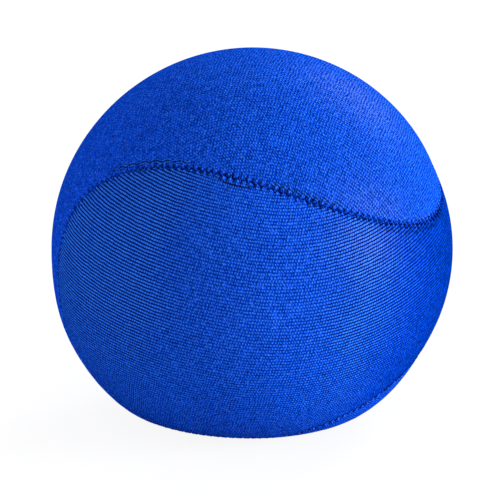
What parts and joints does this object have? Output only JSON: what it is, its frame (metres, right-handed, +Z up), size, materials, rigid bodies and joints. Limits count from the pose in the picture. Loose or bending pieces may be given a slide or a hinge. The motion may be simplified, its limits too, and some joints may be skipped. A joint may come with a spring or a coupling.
{
  "type": "hand exercise ball",
  "caption": "Soft gel-filled ball for hand and grip exercise, in a stretch-knit cover of interlocking panels sewn along a curved seam, resting on a flattened foot.",
  "frame": {"origin": "middle of the flat foot that the ball stands on", "axes": "+Z up from the foot through the middle of the ball, -Y towards the picture's view, +X to its right"},
  "size_m": [0.0698, 0.0696, 0.0649],
  "materials": {
    "stretch_knit": "royal blue stretch jersey, fine even loops, soft sheen",
    "sewing_thread": "blue polyester sewing thread",
    "bladder_rubber": "pale soft moulded rubber",
    "gel": "clear soft gel"
  },
  "bodies": {
    "root": {"gel_core": "gel", "gel_bladder": "bladder_rubber", "fill_plug": "bladder_rubber", "side_cover_panel": "stretch_knit", "top_cover_panel": "stretch_knit", "seam_thread": "sewing_thread", "closing_thread": "sewing_thread"}
  },
  "joints": []
}
